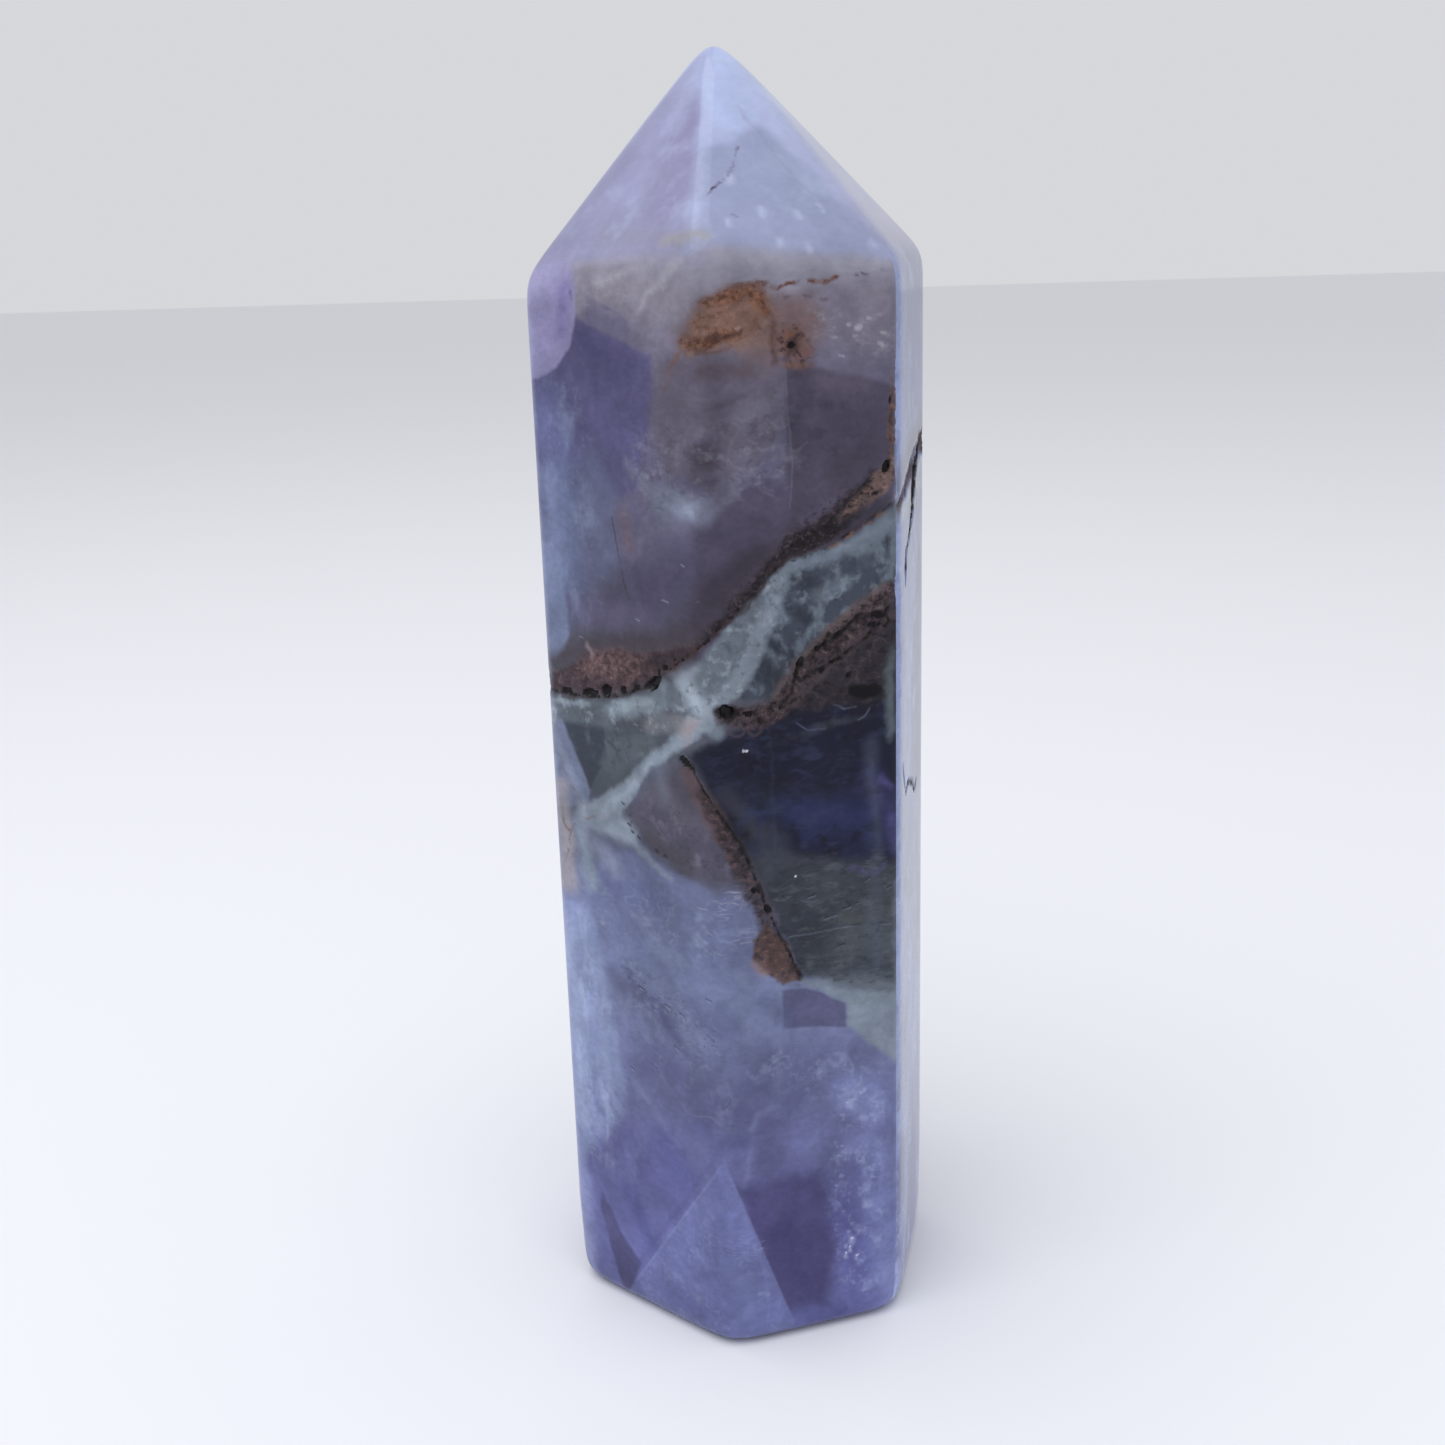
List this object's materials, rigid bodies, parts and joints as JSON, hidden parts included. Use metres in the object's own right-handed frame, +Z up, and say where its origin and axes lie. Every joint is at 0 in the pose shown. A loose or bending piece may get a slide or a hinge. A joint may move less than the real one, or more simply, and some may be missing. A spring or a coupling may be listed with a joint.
{
  "type": "chevron amethyst generator",
  "caption": "Polished hexagonal crystal tower of banded amethyst and quartz with a pointed tip, a flat foot and small pits along slanting iron-brown seams.",
  "frame": {"origin": "on the flat foot, under the middle of the stone's bounding box", "axes": "+Z up along the long edges to the tip, -Y towards the edge nearest to the picture's viewpoint, +X to its right"},
  "size_m": [0.0266, 0.0271, 0.0891],
  "materials": {
    "polished_chevron_amethyst": "tumble polished, smooth and glossy, cloudy and banded inside"
  },
  "bodies": {
    "root": {"amethyst_tower": "polished_chevron_amethyst"}
  },
  "joints": []
}
